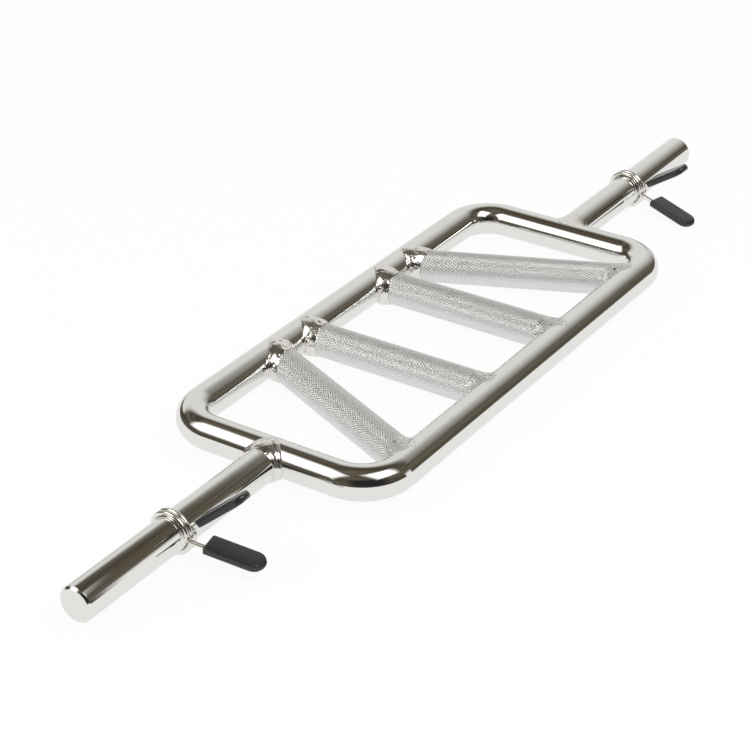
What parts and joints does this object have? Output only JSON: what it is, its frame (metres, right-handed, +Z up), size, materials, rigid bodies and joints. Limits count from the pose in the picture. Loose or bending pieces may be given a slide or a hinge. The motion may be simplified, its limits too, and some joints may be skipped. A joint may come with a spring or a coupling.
{
  "type": "multi-grip barbell",
  "caption": "Chromed bent-tube frame with straight and slanted knurled handles across it, a plate sleeve on each end and squeeze spring collars with dipped grips.",
  "frame": {"origin": "on the floor under the middle of the bar, at the middle of the bounding box's bottom", "axes": "+X along the bar from its near sleeve to its far sleeve, +Y across the frame to the rail at which the slanted handles come closest together, +Z up out of the frame's plane"},
  "size_m": [0.86, 0.2, 0.0617],
  "materials": {
    "chrome_tube": "polished",
    "knurled_chrome": "satin",
    "chromed_weld": "bright",
    "spring_wire": "bright",
    "dipped_vinyl": "satin"
  },
  "bodies": {
    "bar": {"frame_tube": "chrome_tube", "near_sleeve": "chrome_tube", "far_sleeve": "chrome_tube", "near_slanted_handle": "knurled_chrome", "near_straight_handle": "knurled_chrome", "far_straight_handle": "knurled_chrome", "far_slanted_handle": "knurled_chrome", "near_sleeve_weld": "chromed_weld", "far_sleeve_weld": "chromed_weld", "near_slanted_handle_left_weld": "chromed_weld", "near_slanted_handle_right_weld": "chromed_weld", "near_straight_handle_left_weld": "chromed_weld", "near_straight_handle_right_weld": "chromed_weld", "far_straight_handle_left_weld": "chromed_weld", "far_straight_handle_right_weld": "chromed_weld", "far_slanted_handle_left_weld": "chromed_weld", "far_slanted_handle_right_weld": "chromed_weld"},
    "near_collar": {"near_collar_coil": "spring_wire"},
    "near_collar_upper_handle": {"near_collar_upper_wire": "spring_wire", "near_collar_upper_grip": "dipped_vinyl"},
    "near_collar_lower_handle": {"near_collar_lower_wire": "spring_wire", "near_collar_lower_grip": "dipped_vinyl"},
    "far_collar": {"far_collar_coil": "spring_wire"},
    "far_collar_upper_handle": {"far_collar_upper_wire": "spring_wire", "far_collar_upper_grip": "dipped_vinyl"},
    "far_collar_lower_handle": {"far_collar_lower_wire": "spring_wire", "far_collar_lower_grip": "dipped_vinyl"}
  },
  "joints": [
    {"name": "near_collar_slide", "type": "slide", "parent": "bar", "child": "near_collar", "axis": [1, 0, 0], "range_m": [-0.091, 0.084]},
    {"name": "near_collar_upper_squeeze", "type": "hinge", "parent": "near_collar", "child": "near_collar_upper_handle", "pos_m": [-0.3285, 0, 0.01665], "axis": [1, 0, 0], "range_deg": [0, 12], "stiffness_Nm_per_rad": 5, "springref_deg": -14.32, "deforming": ["near_collar_coil"]},
    {"name": "near_collar_lower_squeeze", "type": "hinge", "parent": "near_collar", "child": "near_collar_lower_handle", "pos_m": [-0.3285, 0, 0.01665], "axis": [-1, 0, 0], "range_deg": [0, 12], "deforming": ["near_collar_coil"]},
    {"name": "far_collar_slide", "type": "slide", "parent": "bar", "child": "far_collar", "axis": [1, 0, 0], "range_m": [-0.086, 0.089]},
    {"name": "far_collar_upper_squeeze", "type": "hinge", "parent": "far_collar", "child": "far_collar_upper_handle", "pos_m": [0.3305, 0, 0.01665], "axis": [1, 0, 0], "range_deg": [0, 12], "stiffness_Nm_per_rad": 5, "springref_deg": -14.32, "deforming": ["far_collar_coil"]},
    {"name": "far_collar_lower_squeeze", "type": "hinge", "parent": "far_collar", "child": "far_collar_lower_handle", "pos_m": [0.3305, 0, 0.01665], "axis": [-1, 0, 0], "range_deg": [0, 12], "deforming": ["far_collar_coil"]}
  ],
  "couplings": [
    {"joint": "near_collar_lower_squeeze", "follows": "near_collar_upper_squeeze", "ratio": 1},
    {"joint": "far_collar_lower_squeeze", "follows": "far_collar_upper_squeeze", "ratio": 1}
  ]
}
